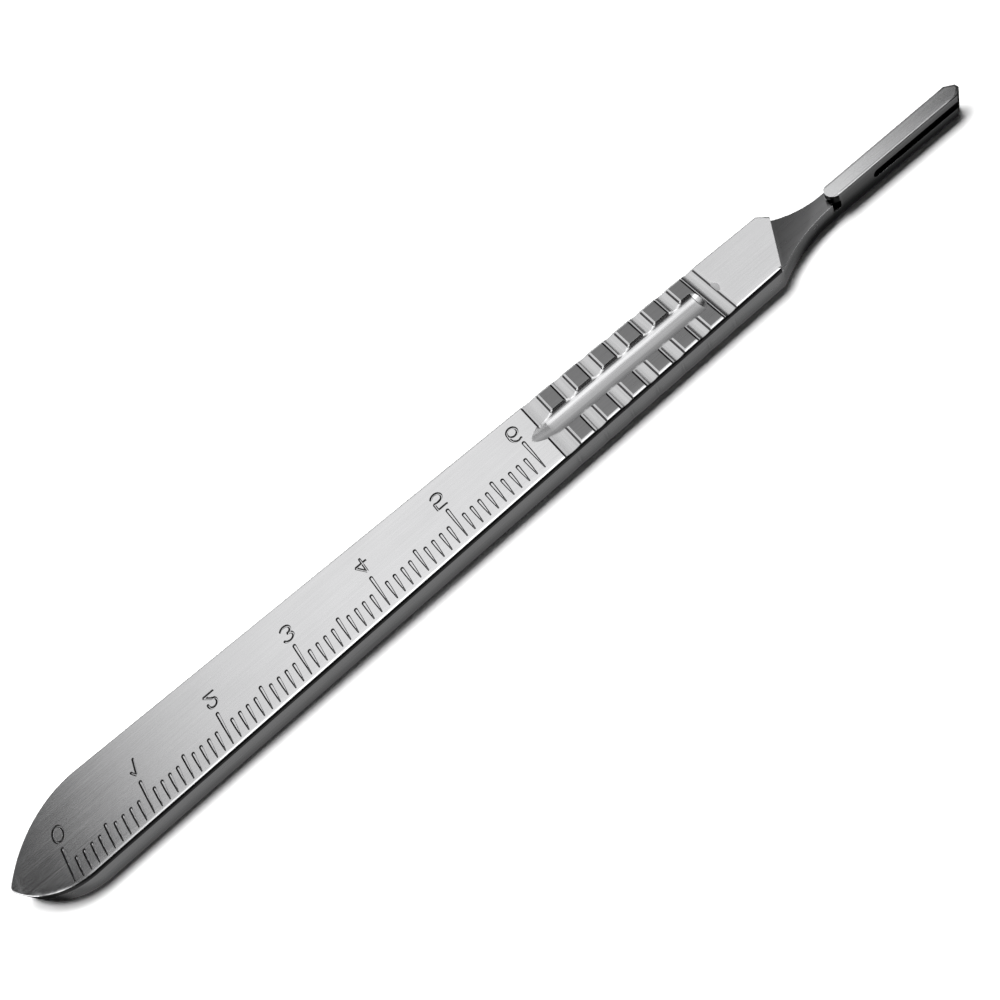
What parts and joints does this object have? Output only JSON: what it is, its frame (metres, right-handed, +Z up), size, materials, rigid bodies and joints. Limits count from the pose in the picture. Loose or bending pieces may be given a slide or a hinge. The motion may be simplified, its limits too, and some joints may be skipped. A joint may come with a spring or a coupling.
{
  "type": "scalpel handle",
  "caption": "Flat stainless steel scalpel handle with a graduated edge, a ribbed grip on both faces and a slotted lug that takes a detachable blade",
  "frame": {"origin": "middle of the bounding box's underside, on the surface that the handle lies on", "axes": "+X runs along the handle from the rounded tail to the blade lug, +Y across it away from the ruler edge, +Z up through its thickness, out of the graduated face"},
  "size_m": [0.1215, 0.0109, 0.003],
  "materials": {
    "brushed_steel": "satin stainless steel with fine brushing along the handle, brighter ground flutes and a polished groove"
  },
  "bodies": {
    "root": {"scalpel_handle": "brushed_steel"}
  },
  "joints": []
}
